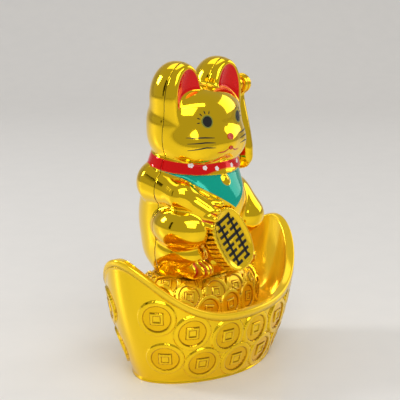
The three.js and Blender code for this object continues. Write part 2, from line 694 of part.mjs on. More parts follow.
function frameScrew([x, y]) {
  const seat = frameBaseTop() + gap;
  return join(
    uprightCylinder(screw.headRadius, seat, seat + screw.headHeight, x, y, 18),
    uprightCylinder(screw.radius, mound.seatHeight - wall - 1.5, seat + 0.2, x, y, 12));
}

// ---------- assembly ----------
const gold = new THREE.MeshStandardMaterial({ color: 0xf2b705, metalness: 1, roughness: 0.12 });
const blackPrint = new THREE.MeshStandardMaterial({ color: 0x111111, metalness: 0, roughness: 0.4 });
const whitePlastic = new THREE.MeshStandardMaterial({ color: 0xe8e6df, metalness: 0, roughness: 0.5 });
const yellowPlastic = new THREE.MeshStandardMaterial({ color: 0xd9a514, metalness: 0, roughness: 0.45 });
const steel = new THREE.MeshStandardMaterial({ color: 0xb8bcc0, metalness: 1, roughness: 0.3 });
const brass = new THREE.MeshStandardMaterial({ color: 0xb08d3c, metalness: 1, roughness: 0.35 });
const copper = new THREE.MeshStandardMaterial({ color: 0xb5602c, metalness: 1, roughness: 0.35 });
const circuitGreen = new THREE.MeshStandardMaterial({ color: 0x1f6b3a, metalness: 0, roughness: 0.5 });
const redWire = new THREE.MeshStandardMaterial({ color: 0xb81414, metalness: 0, roughness: 0.5 });

const part = new THREE.Group();
function piece(name, solid, material) {
  const mesh = new THREE.Mesh(toGeometry(solid), material);
  mesh.name = name;
  part.add(mesh);
}

const cat = wholeCat();
const cavity = catCavity();
const seatedBowl = cut(ingotBowl(), ...frameScrewSpots().map(([x, y]) =>
  uprightCylinder(screw.radius + gap, mound.seatHeight - wall - 4, mound.seatHeight + 1, x, y, 12)));

piece('cat_front_shell', catHalf(-1), gold);
piece('cat_rear_shell', catHalf(1), gold);
piece('koban_plaque', kobanSolid(), gold);
piece('ingot_hull', ingotHull(), gold);
piece('ingot_bowl', seatedBowl, gold);
piece('raised_arm_inner', armHalf(-1), gold);
piece('raised_arm_outer', armHalf(1), gold);
piece('arm_axle', armAxle(), steel);
piece('axle_clip', axleClip(), steel);
piece('shoulder_bush', shoulderBush(), whitePlastic);
piece('pendulum_bar', pendulumBar(), whitePlastic);
piece('pendulum_magnet', pendulumMagnet(), steel);
piece('balance_weight', balanceWeight(), brass);
piece('drive_frame', driveFrame(), whitePlastic);
piece('coil_bobbin', coilBobbin(), whitePlastic);
piece('coil_winding', coilWinding(), copper);
piece('drive_board', driveBoard(), circuitGreen);
[-1, 1].forEach((side, i) => piece(`board_standoff_${i + 1}`, boardStandoff(side), whitePlastic));
piece('drive_chip', driveChip(), blackPrint);
piece('drive_capacitor', driveCapacitor(), blackPrint);
frameScrewSpots().forEach((spot, i) => piece(`frame_screw_${i + 1}`, frameScrew(spot), steel));
piece('base_plate', basePlateSolid(), yellowPlastic);
screwSpots.forEach((spot, i) => piece(`base_screw_${i + 1}`, baseScrew(spot), steel));
piece('battery_door', batteryDoor(), yellowPlastic);
piece('battery_cell', batteryCell(), blackPrint);
piece('battery_spring', batterySpring(), steel);
piece('battery_contact', batteryContact(), steel);
piece('lead_negative', leadFrom(boxInner().low[0] + 1, -1, -6), blackPrint);
piece('lead_positive', leadFrom(boxInner().high[0] - 1, 1, 6), redWire);

export default part;
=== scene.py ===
import json
import math

import bmesh
import bpy
import numpy as np
import openvdb as vdb
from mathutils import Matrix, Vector


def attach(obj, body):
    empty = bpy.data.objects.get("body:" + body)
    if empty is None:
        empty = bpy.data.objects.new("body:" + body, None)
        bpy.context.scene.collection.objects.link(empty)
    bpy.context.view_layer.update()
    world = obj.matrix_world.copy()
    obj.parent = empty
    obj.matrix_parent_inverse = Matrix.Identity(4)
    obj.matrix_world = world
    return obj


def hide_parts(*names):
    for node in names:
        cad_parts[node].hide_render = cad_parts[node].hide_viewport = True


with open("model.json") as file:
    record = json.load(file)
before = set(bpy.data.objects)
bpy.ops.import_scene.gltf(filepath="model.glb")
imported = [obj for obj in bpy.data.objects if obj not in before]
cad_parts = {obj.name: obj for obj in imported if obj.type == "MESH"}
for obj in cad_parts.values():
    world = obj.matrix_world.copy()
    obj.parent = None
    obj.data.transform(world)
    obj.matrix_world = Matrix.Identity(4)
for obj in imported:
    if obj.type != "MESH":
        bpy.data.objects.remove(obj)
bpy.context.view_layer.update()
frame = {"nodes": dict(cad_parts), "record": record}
mm = 0.001
unpainted = 5.0  # an edge distance far from any paint, in mm
print("frame loaded")


# distance fields, in millimetres: negative inside, positive outside

def egg(p, centre, radii):
    q = [(p[i] - centre[i]) for i in range(3)]
    near = np.sqrt(sum((q[i] / radii[i]) ** 2 for i in range(3)))
    steep = np.sqrt(sum((q[i] / radii[i] ** 2) ** 2 for i in range(3))) + 1e-6
    return near * (near - 1) / steep


def fullEgg(p, centre, radii, power):  # an egg with squarer shoulders
    q = [np.abs(p[i] - centre[i]) / radii[i] for i in range(3)]
    flat = np.sqrt(q[0] ** 2 + q[1] ** 2)
    return ((flat ** power + q[2] ** power) ** (1 / power) - 1) * min(radii) * 0.95


def limb(p, start, end, startRadius, endRadius):
    a, b = np.array(start, float), np.array(end, float)
    along = b - a
    t = sum((p[i] - a[i]) * along[i] for i in range(3)) / along.dot(along)
    t = np.clip(t, 0, 1)
    gapTo = np.sqrt(sum((p[i] - a[i] - along[i] * t) ** 2 for i in range(3)))
    return gapTo - (startRadius + (endRadius - startRadius) * t)


def stack(p, rows):  # rows of height, half width, half depth, centre y
    rows = np.array(rows, float)
    wide, deep, mid = (np.interp(p[2], rows[:, 0], rows[:, i]) for i in (1, 2, 3))
    flat = np.sqrt((p[0] / wide) ** 2 + ((p[1] - mid) / deep) ** 2)
    side = (flat - 1) * np.minimum(wide, deep)
    return np.maximum(side, np.maximum(rows[0, 0] - p[2], p[2] - rows[-1, 0]))


def melt(a, b, width):  # joins two fields with a soft fillet
    h = np.maximum(width - np.abs(a - b), 0) / width
    return np.minimum(a, b) - h * h * width / 4


def carve(a, b, width):  # takes b away from a, with a soft edge
    return -melt(-a, b, width)


def softRows(rows, count=60):  # smooths a short list of rows into many
    rows = np.array(rows, float)
    t = np.concatenate([[0], np.cumsum(np.abs(np.diff(rows[:, 0])))])
    fine = np.linspace(0, t[-1], count)
    out = []
    for column in rows.T:
        slope = np.gradient(column, t)
        i = np.clip(np.searchsorted(t, fine, side="right") - 1, 0, len(t) - 2)
        h = t[i + 1] - t[i]
        s = (fine - t[i]) / h
        out.append((2 * s ** 3 - 3 * s ** 2 + 1) * column[i] + (s ** 3 - 2 * s ** 2 + s) * h * slope[i]
                   + (3 * s ** 2 - 2 * s ** 3) * column[i + 1] + (s ** 3 - s ** 2) * h * slope[i + 1])
    return np.array(out).T


# the cat

cat = {
    "seat": 45.0,
    "body": [(38, 19.5, 16, 5), (45, 21.5, 17.8, 5.2), (52, 24.2, 21.4, 7), (62, 25, 23.3, 8),
             (70, 25.2, 24, 8.4), (78, 25, 23.4, 8.2), (86, 24.6, 21.2, 7.2), (94, 23.8, 18.6, 6),
             (100, 22.2, 17, 5.5), (106, 20, 15, 5.5), (112, 17, 13, 5.5)],
    "head": ((0, 5.4, 115.0), (25.3, 19.6, 18.5), 2.6),
    "cheek": ((7.6, -4.0, 106.4), (12.9, 10.9, 9.8)),
    "muzzle": ((0, -11.2, 108.2), (8, 6.2, 6)),
    "chest": ((0, -5, 79), (16.5, 14.4, 12)),
    "ear": ((14.0, 4.5, 128.7), (11.2, 12.4, 16.6)),
    "earLip": ((14.0, 0.6, 128.7), (9.7, 12.4, 16.2)),
    "earFront": -4.2,
    "earDish": ((13.8, -5.4, 129.6), (7.9, 3.6, 13.3)),
    "thigh": ((19, -4.0, 70), (11.8, 15.6, 10.8)),
    "shin": ((16.8, -1.0, 57.5), (9.6, 13.6, 8.5)),
    "hip": ((17, 0.5, 80.5), (9.6, 13, 9.5)),
    "foot": ((15.6, -6.7, 50.6), (6.9, 12.9, 5.8)),
    "toes": {"middle": 15.6, "spread": 2.3, "count": 5, "behind": -12.0, "top": 55.0},
    "wall": 2.0,
    "bush": (4, 94, 4.5), "armSideX": 25.1, "armSideLow": 82,
    "seamAtFoot": (8.0, 50.0), "seamSlope": -0.09, "seamGap": 0.3,
}
collar = {"height": 99.2, "middle": 5.3, "tilt": 0.14, "half": 2.65, "proud": 1.4}
bib = {"tip": 77.6, "slope": 0.72, "proud": 0.5}
koban = {"centre": (-5.3, -20.5, 64.2), "wide": 10.5, "tall": 15.6, "thick": 8.0, "lean": 12.5, "roll": 24,
         "ribs": 38, "ribDepth": 0.85, "power": 2.5, "sunk": 0.45}
frontArm = {
    "shoulder": (-18.0, 10.8, 88.8, 11.0), "elbow": (-21.4, -5.5, 85.6, 6.3),
    "paw": (-14.2, -15.6, 77.8, 5.6),
    "fingers": [((-16.5, -12, 82.6), (-11.0, -20.4, 82.2)), ((-18.2, -12.5, 79.9), (-13.9, -21.2, 79.2)),
                ((-19.4, -13, 77.0), (-16.2, -21.6, 76.0)), ((-19.8, -13, 74.0), (-17.8, -21.4, 72.7))],
    "fingerRadius": 2.0,
}


def kobanAxes():
    lean, roll = math.radians(koban["lean"]), math.radians(koban["roll"])
    up = np.array([-math.sin(roll) * math.cos(lean), math.sin(lean), math.cos(roll) * math.cos(lean)])
    across = np.array([math.cos(roll), 0, math.sin(roll)])
    return across, up, -np.cross(up, across)


def kobanLocal(p):
    across, up, out = kobanAxes()
    q = [p[i] - koban["centre"][i] for i in range(3)]
    return [sum(q[i] * axis[i] for i in range(3)) for axis in (across, up, out)]


def kobanField(p, grow=0.0):
    u, v, w = kobanLocal(p)
    power = koban["power"]
    a, b = np.abs(u) / (koban["wide"] + grow), np.abs(v) / (koban["tall"] + grow)
    edge = (a ** power + b ** power) ** (1 / power)
    return np.maximum((edge - 1) * koban["wide"], np.abs(w) - koban["thick"] / 2 - grow)


def headField(p):
    side = [np.abs(p[0]), p[1], p[2]]
    d = fullEgg(p, *cat["head"])
    d = melt(d, egg(side, *cat["cheek"]), 6)
    d = melt(d, egg(p, *cat["muzzle"]), 4)
    hood = melt(egg(side, *cat["ear"]), egg(side, *cat["earLip"]), 2)
    hood = -melt(-hood, -(cat["earFront"] - p[1]), 1.4)
    hood = carve(hood, egg(side, *cat["earDish"]), 0.8)
    return melt(d, hood, 1.6)


def collarHeight(p):
    return p[2] - (collar["height"] + (p[1] - collar["middle"]) * collar["tilt"])


def bibEdge(p):  # below zero inside the bib
    behind = p[1] - (cat["seamAtFoot"][0] - 1.4)
    sides = bib["tip"] + bib["slope"] * np.abs(p[0]) - p[2]
    return np.maximum(np.maximum(sides, collarHeight(p) + 0.5), behind)


def toeLines(p):
    toes = cat["toes"]
    first = toes["middle"] - (toes["count"] - 1) / 2 * toes["spread"]
    return np.min([np.abs(p[0] - first - i * toes["spread"]) for i in range(toes["count"])], axis=0)


# Four fingers over the tablet's edge, and how near a point is to the crease between two.
def fingers(p):
    radius = frontArm["fingerRadius"]
    each = np.sort([limb(p, start, end, radius, radius * 0.9) for start, end in frontArm["fingers"]], axis=0)
    return each[0], each[1] - each[0]


def catField(p):
    side = [np.abs(p[0]), p[1], p[2]]
    trunk = stack(p, bodyRows)
    trunk = melt(trunk, egg(p, *cat["chest"]), 9)
    d = melt(trunk, headField(p), 2.2)
    d = melt(d, egg(side, *cat["shin"]), 2.5)
    d = melt(d, melt(egg(side, *cat["thigh"]), egg(p, *cat["hip"]), 7), 1.4)
    foot = egg(side, *cat["foot"])
    groove = np.exp(-(toeLines(side) / 0.5) ** 2) * np.clip((cat["toes"]["behind"] - p[1]) / 2.5, 0, 1)
    d = melt(d, foot + 1.1 * groove, 0.9)
    shoulder, elbow, paw = frontArm["shoulder"], frontArm["elbow"], frontArm["paw"]
    upperArm = limb(p, shoulder[:3], elbow[:3], shoulder[3], elbow[3])
    arm = melt(upperArm, limb(p, elbow[:3], paw[:3], elbow[3], paw[3]), 3)
    d = melt(d, arm, 1.0)
    d = melt(d, fingers(p)[0], 0.5)
    d = d - bib["proud"] * np.clip(0.5 - bibEdge(p) / 0.8, 0, 1) * (p[1] < 6)
    band = np.maximum(trunk - collar["proud"], np.abs(collarHeight(p)) - collar["half"])
    d = melt(d, band, 0.7)
    bell = egg(p, *bellShape)
    slot = np.maximum(np.abs(p[0] - bellShape[0][0]) - 0.4, np.maximum(p[2] - 89, p[1] - bellFront))
    d = melt(d, carve(bell, slot, 0.3), 0.5)
    d = carve(d, kobanField(p, 0.3), 0.5)
    y, z, radius = cat["bush"]
    bush = np.sqrt((p[1] - y) ** 2 + (p[2] - z) ** 2) - radius
    d = np.maximum(d, -np.maximum(bush, -p[0]))
    return carve(d, np.maximum(cat["armSideX"] - p[0], cat["armSideLow"] - p[2]), 1.0)


def cavityField(p):
    side = [np.abs(p[0]), p[1], p[2]]
    trunk = stack(p, bodyRows)
    d = melt(trunk, fullEgg(p, *cat["head"]), 3)
    d = np.minimum(d, egg(side, *cat["thigh"]) + 0.4)
    return d + cat["wall"]


bodyRows = softRows(cat["body"])
bellFront = -13.9
bellShape = ((-1.2, bellFront, 89.4), (3.0, 2.9, 4.3))


# turning a field into a mesh

def steepest(field, points, reach=0.15):
    cols = []
    for i in range(3):
        step = np.zeros(3)
        step[i] = reach
        cols.append(field(list((points + step).T)) - field(list((points - step).T)))
    return np.stack(cols, -1) / (2 * reach)


def settle(field, points, rounds=3):  # moves points onto the zero surface
    for _ in range(rounds):
        g = steepest(field, points)
        size = np.maximum((g ** 2).sum(-1), 0.05)
        move = g * (field(list(points.T)) / size)[:, None]
        length = np.linalg.norm(move, axis=1, keepdims=True)
        points = points - move * np.minimum(1, 0.4 / np.maximum(length, 1e-9))
    return points


def skin(field, low, high, step):
    axes = [np.arange(l, h + step, step, dtype=np.float32) for l, h in zip(low, high)]
    grid = np.meshgrid(*axes, indexing="ij")
    values = np.clip(field(grid) / step, -4, 4).astype(np.float32)
    volume = vdb.FloatGrid(4.0)
    volume.copyFromArray(np.ascontiguousarray(values), tolerance=0)
    points, triangles, quads = volume.convertToPolygons(isovalue=0.0, adaptivity=0.0)
    points = np.array(points, float) * step + np.array(low, float)
    faces = [tuple(int(i) for i in f[::-1]) for f in quads]
    faces += [tuple(int(i) for i in f[::-1]) for f in triangles]
    return settle(field, points), faces


def facesOut(bm):
    bmesh.ops.recalc_face_normals(bm, faces=bm.faces)
    if bm.calc_volume(signed=True) < 0:
        bmesh.ops.reverse_faces(bm, faces=bm.faces)


def tidyFaces(obj, fill=False, split=False):  # closes holes, splits large faces and turns every face outwards
    bm = bmesh.new()
    bm.from_mesh(obj.data)
    if fill:
        bmesh.ops.holes_fill(bm, edges=[e for e in bm.edges if e.is_boundary], sides=0)
    if split:
        bmesh.ops.triangulate(bm, faces=[f for f in bm.faces if len(f.verts) > 4])
    facesOut(bm)
    bm.to_mesh(obj.data)
    bm.free()


def asObject(name, points, faces, smooth=True):
    mesh = bpy.data.meshes.new(name)
    mesh.from_pydata([tuple(v) for v in np.asarray(points) * mm], [], faces)
    mesh.validate()
    if smooth:
        mesh.polygons.foreach_set("use_smooth", [True] * len(mesh.polygons))
    made = bpy.data.objects.new(name, mesh)
    bpy.context.scene.collection.objects.link(made)
    return made


def keepSide(obj, point, normal):  # cuts a closed mesh with a plane and caps it
    bm = bmesh.new()
    bm.from_mesh(obj.data)
    everything = list(bm.verts) + list(bm.edges) + list(bm.faces)
    bmesh.ops.bisect_plane(bm, geom=everything, dist=1e-7, plane_co=Vector(point) * mm,
                           plane_no=Vector(normal).normalized(), clear_outer=True)
    rim = [e for e in bm.edges if e.is_boundary]
    if rim:
        new = bmesh.ops.triangle_fill(bm, use_beauty=True, use_dissolve=False, edges=rim)
        for face in [g for g in new["geom"] if isinstance(g, bmesh.types.BMFace)]:
            face.smooth = False
    bmesh.ops.triangulate(bm, faces=[f for f in bm.faces if len(f.verts) > 4])
    facesOut(bm)
    bm.to_mesh(obj.data)
    bm.free()


def copyOf(obj, name):
    twin = bpy.data.objects.new(name, obj.data.copy())
    bpy.context.scene.collection.objects.link(twin)
    return twin


def vertexArray(obj):
    flat = np.empty(len(obj.data.vertices) * 3)
    obj.data.vertices.foreach_get("co", flat)
    return flat.reshape(-1, 3) / mm


def paintEdge(obj, name, values):  # a signed distance in mm, read by the paint nodes
    layer = obj.data.attributes.new(name, "FLOAT", "POINT")
    layer.data.foreach_set("value", np.asarray(values, dtype=np.float32))


# finishes

def newFinish(name):
    material = bpy.data.materials.new(name)
    material.use_nodes = True
    nodes, links = material.node_tree.nodes, material.node_tree.links
    return material, nodes, links, nodes["Principled BSDF"]


def noiseNode(nodes, links, scale, detail=3.0):
    place = nodes.new("ShaderNodeTexCoord")
    noise = nodes.new("ShaderNodeTexNoise")
    noise.inputs["Scale"].default_value = scale
    noise.inputs["Detail"].default_value = detail
    links.new(place.outputs["Object"], noise.inputs["Vector"])
    return noise


def between(nodes, links, source, low, high):
    span = nodes.new("ShaderNodeMapRange")
    span.inputs["To Min"].default_value = low
    span.inputs["To Max"].default_value = high
    links.new(source, span.inputs["Value"])
    return span.outputs["Result"]


def ripple(nodes, links, shader, source, strength, distance):
    bump = nodes.new("ShaderNodeBump")
    bump.inputs["Strength"].default_value = strength
    bump.inputs["Distance"].default_value = distance
    links.new(source, bump.inputs["Height"])
    links.new(bump.outputs["Normal"], shader.inputs["Normal"])


def twoColours(nodes, links, factor, first, second):
    mix = nodes.new("ShaderNodeMix")
    mix.data_type = "RGBA"
    for socket, colour in ((mix.inputs[6], first), (mix.inputs[7], second)):
        if isinstance(colour, tuple):
            socket.default_value = (*colour, 1)
        else:
            links.new(colour, socket)
    links.new(factor, mix.inputs[0])
    return mix.outputs[2]


def inkMask(nodes, links, name, softness=0.12):  # 1 where the named edge distance is below zero
    reader = nodes.new("ShaderNodeAttribute")
    reader.attribute_name = name
    span = nodes.new("ShaderNodeMapRange")
    span.inputs["From Min"].default_value = softness
    span.inputs["From Max"].default_value = -softness
    links.new(reader.outputs["Fac"], span.inputs["Value"])
    return span.outputs["Result"]


# line is the dark brown of the painted shade lines along the coins' relief edges and the tablet's rib valleys
plating = {"gold": (1.0, 0.66, 0.015), "deepGold": (0.94, 0.56, 0.008), "line": (0.38, 0.15, 0.004),
           "groove": (0.52, 0.03, 0.004), "roughLow": 0.05, "roughHigh": 0.11,
           "red": (0.66, 0.002, 0.001), "teal": (0.0, 0.38, 0.28)}


def goldFinish(name, painted=False, grainy=0.0, metallic=1.0):
    material, nodes, links, shader = newFinish(name)
    cloud = noiseNode(nodes, links, 160)
    colour = twoColours(nodes, links, between(nodes, links, cloud.outputs["Fac"], 0.0, 0.16),
                        plating["gold"], plating["deepGold"])
    if grainy:
        sunken = inkMask(nodes, links, "lowGround", 0.3)
        # painted shade: dark brown lines along the coins' relief edges and in the tablet's rib valleys
        struck = inkMask(nodes, links, "paintedShadeLine", 0.12)
        colour = twoColours(nodes, links, sunken, colour, plating["deepGold"])
        colour = twoColours(nodes, links, struck, colour, plating["line"])
    shader.inputs["Metallic"].default_value = metallic
    links.new(between(nodes, links, cloud.outputs["Fac"], plating["roughLow"], plating["roughHigh"] + grainy),
              shader.inputs["Roughness"])
    if painted:
        creased = inkMask(nodes, links, "grooves", 0.3)
        colour = twoColours(nodes, links, creased, colour, plating["groove"])
        reds = inkMask(nodes, links, "redPaint")
        teals = inkMask(nodes, links, "tealPaint")
        colour = twoColours(nodes, links, reds, colour, plating["red"])
        colour = twoColours(nodes, links, teals, colour, plating["teal"])
        either = nodes.new("ShaderNodeMath")
        either.operation = "MAXIMUM"
        links.new(reds, either.inputs[0])
        links.new(teals, either.inputs[1])
        anyPaint = nodes.new("ShaderNodeMath")
        anyPaint.operation = "MAXIMUM"
        links.new(either.outputs[0], anyPaint.inputs[0])
        links.new(creased, anyPaint.inputs[1])
        links.new(between(nodes, links, anyPaint.outputs[0], 1.0, 0.25), shader.inputs["Metallic"])
    links.new(colour, shader.inputs["Base Color"])
    shader.inputs["Specular IOR Level"].default_value = 0.3
    shader.inputs["Coat Weight"].default_value = 0.06
    shader.inputs["Coat Roughness"].default_value = 0.04
    peel = noiseNode(nodes, links, 420, 1.0)
    ripple(nodes, links, shader, peel.outputs["Fac"], 0.04, 0.0001)
    return material


def plainFinish(name, colour, roughness, metallic=0.0, scale=900, depth=0.12):
    material, nodes, links, shader = newFinish(name)
    speckle = noiseNode(nodes, links, scale, 5)
    darker = tuple(c * 0.8 for c in colour)
    links.new(twoColours(nodes, links, speckle.outputs["Fac"], colour, darker), shader.inputs["Base Color"])
    links.new(between(nodes, links, speckle.outputs["Fac"], roughness * 0.8, roughness * 1.25),
              shader.inputs["Roughness"])
    shader.inputs["Metallic"].default_value = metallic
    ripple(nodes, links, shader, speckle.outputs["Fac"], depth, 0.0001)
    return material


catGold = goldFinish("paintedCatPlating", painted=True)
smoothGold = goldFinish("mirrorGoldPlating")
coinGold = goldFinish("struckCoinPlating", grainy=0.05)
moundGold = goldFinish("moundCoinPlating", grainy=0.14, metallic=0.6)
tabletGold = goldFinish("ribbedTabletPlating", grainy=0.06, metallic=0.75)
blackInk = plainFinish("blackPadPrint", (0.006, 0.006, 0.006), 0.22)
redInk = plainFinish("redPadPrint", (0.60, 0.035, 0.004), 0.3)
whiteInk = plainFinish("whitePadPrint", (0.85, 0.82, 0.80), 0.35)
oliveInk = plainFinish("olivePadPrint", (0.20, 0.22, 0.03), 0.25)
print("finishes mixed")


# cat shells

def seamPlane(side):
    slope = cat["seamSlope"]
    y, z = cat["seamAtFoot"]
    return (0, y + side * cat["seamGap"] / 2, z), (0, -side, side * slope)


def makeCat():
    step = 0.6
    whole = lambda p: np.maximum(catField(p), -cavityField(p))
    points, faces = skin(whole, (-34, -29, 40), (33, 33, 149), step)
    body = asObject("catBlank", points, faces)
    keepSide(body, (0, 0, cat["seat"]), (0, 0, -1))
    for name, side, node in (("cat_front", -1, "cat_front_shell"), ("cat_rear", 1, "cat_rear_shell")):
        half = copyOf(body, name)
        keepSide(half, *seamPlane(side))
        v = vertexArray(half)
        p = list(v.T)
        aside = [np.abs(p[0]), p[1], p[2]]
        dish = np.maximum(egg(aside, *cat["earDish"]) - 0.25, 0.45 - fullEgg(p, *cat["head"]))
        onTrunk = stack(p, bodyRows)
        band = np.maximum(np.abs(collarHeight(p)) - collar["half"] + 0.15, 0.35 - onTrunk)
        band = np.maximum(band, onTrunk - collar["proud"] - 0.5)  # keeps the red off the shoulder
        paintEdge(half, "redPaint", np.minimum(dish, band))
        cloth = np.maximum(bibEdge(p) + 0.75, collarHeight(p) + collar["half"] + 0.1)
        paintEdge(half, "tealPaint", np.maximum(cloth, 0.35 - egg(p, *bellShape)))
        onToes = (p[1] < cat["toes"]["behind"]) & (p[2] < cat["toes"]["top"])
        toes = np.where(onToes, toeLines(aside) - 0.5, unpainted)
        finger, crease = fingers(p)
        creases = np.where((finger < 0.6) & (p[1] < -13), crease - 0.7, unpainted)
        paintEdge(half, "grooves", np.minimum(toes, creases))
        half.data.materials.append(catGold)
        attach(half, "cat_and_ingot")
        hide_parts(node)
    bpy.data.objects.remove(body)


makeCat()
print("cat shells moulded")


# raised arm

wavingArm = {
    "middle": 30.4, "wall": 1.3, "pivot": (4, 94), "hub": 3.6, "hubHalf": 4.2, "bore": 1.3, "boreEnd": 2.4,
    "rows": [(88.3, 0.6, 1.2, 4.2), (89.2, 2.2, 4.0, 4.2), (92.5, 4.0, 8.0, 4.3), (98.5, 4.6, 9.6, 4.8),
             (106, 4.5, 8.9, 5.2), (113, 4.2, 7.6, 5.6), (119.5, 4.0, 5.9, 5.8), (124.5, 3.9, 5.0, 6.1),
             (127.5, 3.6, 4.4, 5.6), (131, 3.2, 4.0, 4.6), (133.5, 1.0, 1.4, 4.4)],
    "paw": ((0, 2.9, 130.9), (4.7, 5.9, 5.0)), "creases": (-2.4, 0.0, 2.4),
}


def armField(p):
    q = [p[0] - wavingArm["middle"], p[1], p[2]]
    crease = np.min([np.abs(q[0] - x) for x in wavingArm["creases"]], axis=0)
    paw = egg(q, *wavingArm["paw"]) + 0.95 * np.exp(-(crease / 0.5) ** 2) * np.clip((4.2 - q[1]) / 2.5, 0, 1)
    return melt(stack(q, armRows), paw, 1.5)


armRows = softRows(wavingArm["rows"], 90)


def makeArm():
    def shell(p):
        x = p[0] - wavingArm["middle"]
        fromPivot = np.sqrt((p[1] - wavingArm["pivot"][0]) ** 2 + (p[2] - wavingArm["pivot"][1]) ** 2)
        inner = stack([x, p[1], p[2]], armRows) + wavingArm["wall"]
        hub = np.maximum(fromPivot - wavingArm["hub"], np.abs(x) - wavingArm["hubHalf"])
        bore = np.maximum(fromPivot - wavingArm["bore"], x - wavingArm["boreEnd"])
        outer = armField(p)
        return np.maximum(np.minimum(np.maximum(outer, -inner), np.maximum(hub, outer)), -bore)
    points, faces = skin(shell, (24, -9, 86), (37, 17, 138), 0.4)
    blank = asObject("armBlank", points, faces)
    for name, side, node in (("arm_inner", -1, "raised_arm_inner"), ("arm_outer", 1, "raised_arm_outer")):
        half = copyOf(blank, name)
        keepSide(half, (wavingArm["middle"] + side * 0.05, 0, 0), (-side, 0, 0))
        p = list(vertexArray(half).T)
        crease = np.min([np.abs(p[0] - wavingArm["middle"] - x) for x in wavingArm["creases"]], axis=0) - 0.3
        paintEdge(half, "grooves", np.where((p[1] < 3.2) & (p[2] > 126.5), crease, unpainted))
        paintEdge(half, "redPaint", np.full(len(p[0]), unpainted))
        paintEdge(half, "tealPaint", np.full(len(p[0]), unpainted))
        half.data.materials.append(catGold)
        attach(half, "waving_arm")
        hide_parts(node)
    bpy.data.objects.remove(blank)


makeArm()
print("raised arm moulded")


# coins

# line is the half width, in mm, of the painted shade line along each coin's relief edges
coin = {"radius": 9.0, "rimRise": 0.95, "fieldRise": 0.2, "frameRise": 0.85, "bead": 0.04,
        "rimInside": 0.75, "frameOut": 0.34, "frameIn": 0.19, "edge": 0.035, "line": 0.2}


def smoothStep(value, low, high):
    t = np.clip((value - low) / (high - low), 0, 1)
    return t * t * (3 - 2 * t)


# A square-holed coin: its height, its sunken field, its outline, and the distance to its relief edges, along
# which a shade line is painted.
def struckCoin(u, v, size):
    r = np.hypot(u, v) / size
    square = np.maximum(np.abs(u), np.abs(v)) / size
    edge, inner = coin["edge"], coin["rimInside"]
    plate = smoothStep(-r, -1, -1 + edge)
    rim = plate * smoothStep(r, inner - edge, inner)
    frameBand = smoothStep(-square, -coin["frameOut"], edge - coin["frameOut"])
    hole = smoothStep(-square, -coin["frameIn"], edge - coin["frameIn"])
    rise = plate * coin["fieldRise"] + rim * (coin["rimRise"] - coin["fieldRise"])
    rise = rise + frameBand * (coin["frameRise"] - coin["fieldRise"]) - hole * coin["frameRise"] * 0.6
    field = (r < inner) & (square > coin["frameOut"])
    rise = rise + coin["bead"] * field * np.sin(24 * np.arctan2(v, u)) * np.sin(r * 34)
    lines = np.min([np.abs(r - 1), np.abs(r - inner + edge), np.abs(square - coin["frameOut"]),
                    np.abs(square - coin["frameIn"])], axis=0) * size - coin["line"]
    return rise, field, r < 1, lines


def ringMesh(name, rings, closed=True):
    rows, around = rings.shape[:2]
    points = rings.reshape(-1, 3)
    faces = []
    last = rows if closed else rows - 1
    for j in range(last):
        k = (j + 1) % rows
        for i in range(around):
            n = (i + 1) % around
            faces.append((j * around + i, j * around + n, k * around + n, k * around + i))
    made = asObject(name, points, faces)
    tidyFaces(made)
    return made


ingot = {
    "foot": (84, 56, 1.8), "rim": (114, 70, 1.95), "middle": 33.5, "tip": 61.5, "saddle": 3.1, "bulge": 0.8,
    "band": 3.2, "lip": 4.4, "wall": 2.0, "deck": 24.0, "corner": 4.5, "gap": 0.3,
    "ledge": (2.9, 4.9, 4.4),  # low, high and how far in from the outside
}
coinRows = [  # share of the hull's height, then angles from straight ahead
    (0.67, (-62, -40.5, -19.5, 0, 21, 41, 62)),
    (0.27, (-60.5, -36, -13, 10, 33.5, 58)),
]


def outline(shape, angle, inset=0.0):
    length, width, power = shape
    x = length / 2 * np.sign(np.cos(angle)) * np.abs(np.cos(angle)) ** (2 / power)
    y = width / 2 * np.sign(np.sin(angle)) * np.abs(np.sin(angle)) ** (2 / power)
    nx = np.sign(x) * np.abs(x / (length / 2)) ** (power - 1) / (length / 2)
    ny = np.sign(y) * np.abs(y / (width / 2)) ** (power - 1) / (width / 2)
    size = np.hypot(nx, ny)
    return x - nx / size * inset, y - ny / size * inset


def rimHeight(angle):
    x, _ = outline(ingot["rim"], angle)
    climb = np.abs(x / (ingot["rim"][0] / 2)) ** ingot["saddle"]
    return ingot["middle"] + (ingot["tip"] - ingot["middle"]) * climb


def hullAt(angle, z, inset=0.0):
    share = np.clip(z / rimHeight(angle), 0, 1)
    swell = share + ingot["bulge"] * share * (1 - share)
    x0, y0 = outline(ingot["foot"], angle, inset)
    x1, y1 = outline(ingot["rim"], angle, inset)
    return np.stack([x0 + (x1 - x0) * swell, y0 + (y1 - y0) * swell, z + 0 * angle], -1)


def evenAngles(count):  # spaced evenly along the rim instead of by angle
    angle = np.linspace(0, 2 * math.pi, 4001)
    x, y = outline(ingot["rim"], angle)
    run = np.concatenate([[0], np.cumsum(np.hypot(np.diff(x), np.diff(y)))])
    return np.interp(np.linspace(0, run[-1], count + 1)[:-1], run, angle)


def coinRelief(points, normals, centres, sizes):
    height = np.zeros(points.shape[:-1])
    field = np.zeros(points.shape[:-1], bool)
    lines = np.full(points.shape[:-1], unpainted)
    for (centre, normal, spin, lift), size in zip(centres, sizes):
        across = np.cross(np.array([0, 0, 1.0]), normal)
        across /= np.linalg.norm(across)
        upward = np.cross(normal, across)
        c, s = math.cos(spin), math.sin(spin)
        d = points - centre
        u0, v0 = d @ across, d @ upward
        rise, inField, inside, near = struckCoin(u0 * c + v0 * s, v0 * c - u0 * s, size)
        inside &= (np.abs(d @ normal) < size * 0.75) & ((normals @ normal) > 0.1)
        height = np.where(inside, lift + rise, height)
        field = np.where(inside, inField, field)
        lines = np.where(inside, near, lines)
    return height, field, lines


